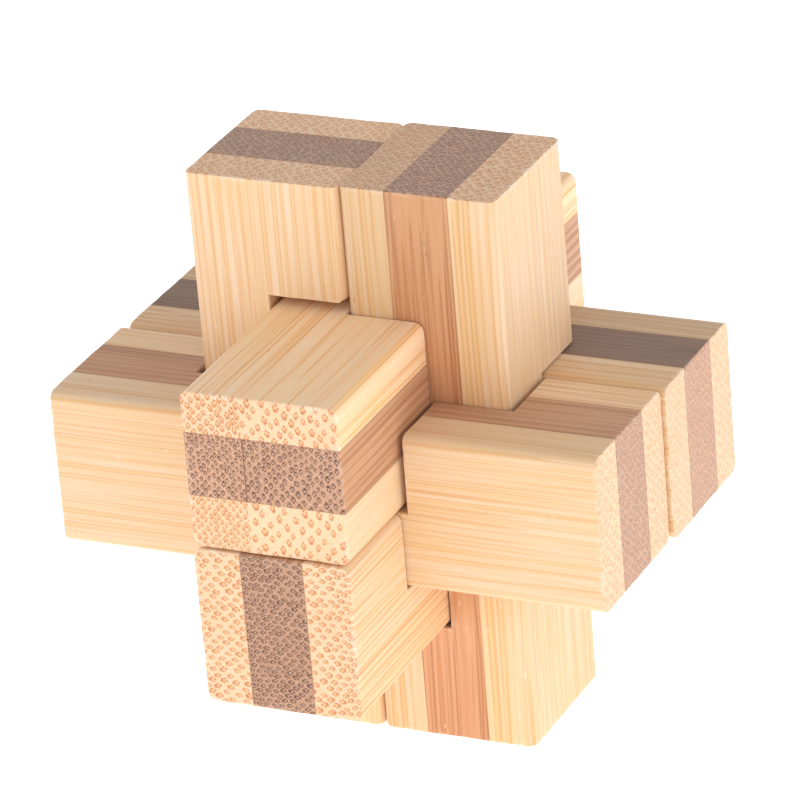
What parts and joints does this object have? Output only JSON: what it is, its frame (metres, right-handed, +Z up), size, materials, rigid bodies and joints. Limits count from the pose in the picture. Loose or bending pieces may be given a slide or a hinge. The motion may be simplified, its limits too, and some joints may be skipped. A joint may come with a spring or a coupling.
{
  "type": "six-piece burr puzzle",
  "caption": "Interlocking bamboo burr puzzle: laminated square sticks cross in pairs along three axes, locked by one plain sliding key bar.",
  "frame": {"origin": "on the floor that the uprights stand on, under the middle of the puzzle", "axes": "+Z up along the two uprights, +X to the right along the crossbars and the key bar, +Y to the rear along the beams"},
  "size_m": [0.0504, 0.0502, 0.0505],
  "materials": {
    "natural_bamboo": "sanded raw bamboo, straight fine grain, matt to slight satin",
    "carbonised_bamboo": "sanded raw bamboo steamed to a caramel brown, matt to slight satin"
  },
  "bodies": {
    "right_upright": {"right_upright_core_strip": "carbonised_bamboo", "right_upright_left_strip_lower": "natural_bamboo", "right_upright_left_strip_upper": "natural_bamboo", "right_upright_right_strip": "natural_bamboo"},
    "left_upright": {"left_upright_core_strip": "carbonised_bamboo", "left_upright_front_strip": "natural_bamboo", "left_upright_rear_strip_lower": "natural_bamboo", "left_upright_rear_strip_upper": "natural_bamboo"},
    "front_crossbar": {"front_crossbar_core_strip": "carbonised_bamboo", "front_crossbar_front_strip": "natural_bamboo", "front_crossbar_rear_strip_left": "natural_bamboo", "front_crossbar_rear_strip_middle": "natural_bamboo", "front_crossbar_rear_strip_right": "natural_bamboo"},
    "key_bar": {"key_bar_core_strip": "carbonised_bamboo", "key_bar_front_strip": "natural_bamboo", "key_bar_rear_strip": "natural_bamboo"},
    "upper_beam": {"upper_beam_bottom_strip_left_front": "natural_bamboo", "upper_beam_bottom_strip_left_rear": "natural_bamboo", "upper_beam_bottom_strip_right_front": "natural_bamboo", "upper_beam_bottom_strip_right_rear": "natural_bamboo", "upper_beam_core_strip_left": "carbonised_bamboo", "upper_beam_core_strip_right": "carbonised_bamboo", "upper_beam_top_strip_left": "natural_bamboo", "upper_beam_top_strip_right": "natural_bamboo"},
    "lower_beam": {"lower_beam_core_strip": "carbonised_bamboo", "lower_beam_left_strip": "natural_bamboo", "lower_beam_right_strip": "natural_bamboo"}
  },
  "joints": [
    {"name": "key_bar_slide", "type": "slide", "parent": "right_upright", "child": "key_bar", "axis": [1, 0, 0], "range_m": [-0.04, 0.04]},
    {"name": "left_upright_play", "type": "slide", "parent": "right_upright", "child": "left_upright", "axis": [0, 0, 1], "range_m": [-0.0006, 0.0001]},
    {"name": "front_crossbar_play", "type": "slide", "parent": "right_upright", "child": "front_crossbar", "axis": [1, 0, 0], "range_m": [-0.0003, 0.0003]},
    {"name": "upper_beam_play", "type": "slide", "parent": "right_upright", "child": "upper_beam", "axis": [0, 1, 0], "range_m": [-0.0007, 0.00005]},
    {"name": "lower_beam_play", "type": "slide", "parent": "right_upright", "child": "lower_beam", "axis": [0, 1, 0], "range_m": [-0.0007, 0.00005]}
  ]
}
